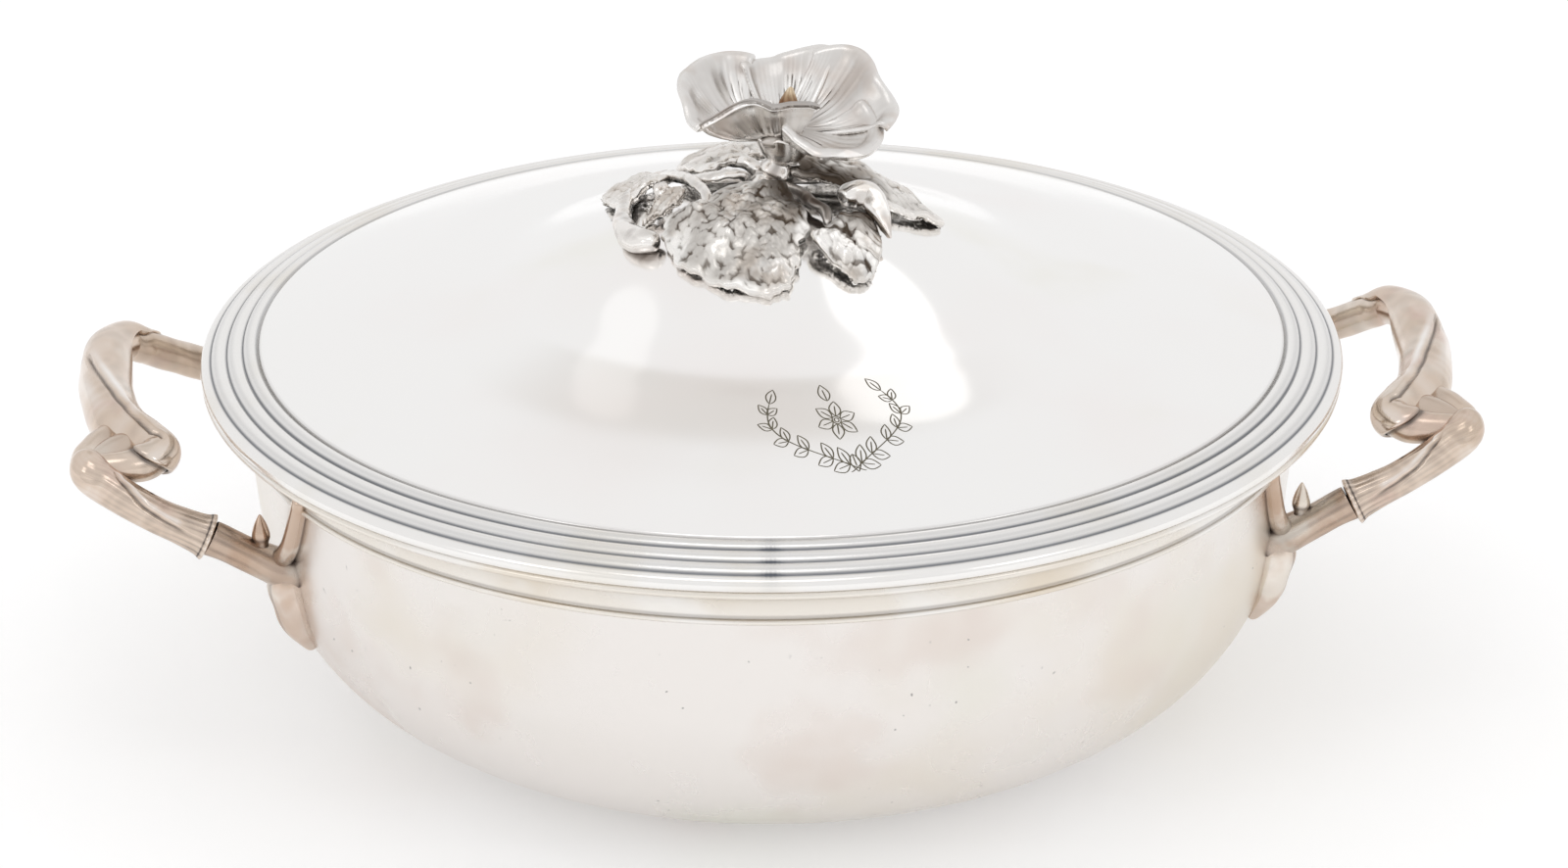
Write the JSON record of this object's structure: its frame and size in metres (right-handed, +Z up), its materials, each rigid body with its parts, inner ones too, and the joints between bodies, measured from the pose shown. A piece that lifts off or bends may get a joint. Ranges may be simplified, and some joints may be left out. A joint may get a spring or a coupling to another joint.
{
  "type": "covered dish",
  "caption": "Round metal serving dish with two looped branch handles and a low domed lid with a reeded edge and a flower finial on leaves.",
  "frame": {"origin": "on the table under the middle of the bowl's flat bottom", "axes": "+Z up along the dish's axis, +X along the two handles, -Y towards the front"},
  "size_m": [0.3058, 0.2486, 0.1397],
  "materials": {
    "polished_silver": "polished",
    "tarnished_silver": "satin",
    "gilt_silver": "satin",
    "plain_silver": "satin"
  },
  "bodies": {
    "bowl": {"bowl_shell": "polished_silver", "bowl_rim_band": "polished_silver", "handle_front_root_right": "tarnished_silver", "handle_rear_root_right": "tarnished_silver", "handle_stem_right": "tarnished_silver", "handle_branch_right": "tarnished_silver", "handle_fold_right": "tarnished_silver", "handle_front_root_left": "tarnished_silver", "handle_rear_root_left": "tarnished_silver", "handle_stem_left": "tarnished_silver", "handle_branch_left": "tarnished_silver", "handle_fold_left": "tarnished_silver"},
    "lid": {"lid_shell": "polished_silver", "lid_reeded_border": "polished_silver", "lid_bezel": "polished_silver", "finial_stem": "tarnished_silver", "finial_washer": "plain_silver", "finial_nut": "plain_silver", "flower_calyx": "tarnished_silver", "petal_left": "tarnished_silver", "petal_rear": "tarnished_silver", "petal_rear_right": "tarnished_silver", "petal_front_right": "tarnished_silver", "petal_front": "tarnished_silver", "flower_pistil": "gilt_silver", "vine_left": "tarnished_silver", "vine_rear_left": "tarnished_silver", "vine_right": "tarnished_silver", "vine_front_right": "tarnished_silver", "bud_left": "tarnished_silver", "bud_right": "tarnished_silver", "leaf_front": "tarnished_silver", "leaf_front_right": "tarnished_silver", "leaf_rear_right": "tarnished_silver", "leaf_rear_left": "tarnished_silver", "leaf_far_left": "tarnished_silver", "leaflet_left": "tarnished_silver"}
  },
  "joints": [
    {"name": "lid_lift", "type": "slide", "parent": "bowl", "child": "lid", "axis": [0, 0, 1], "range_m": [0, 0.15]}
  ]
}
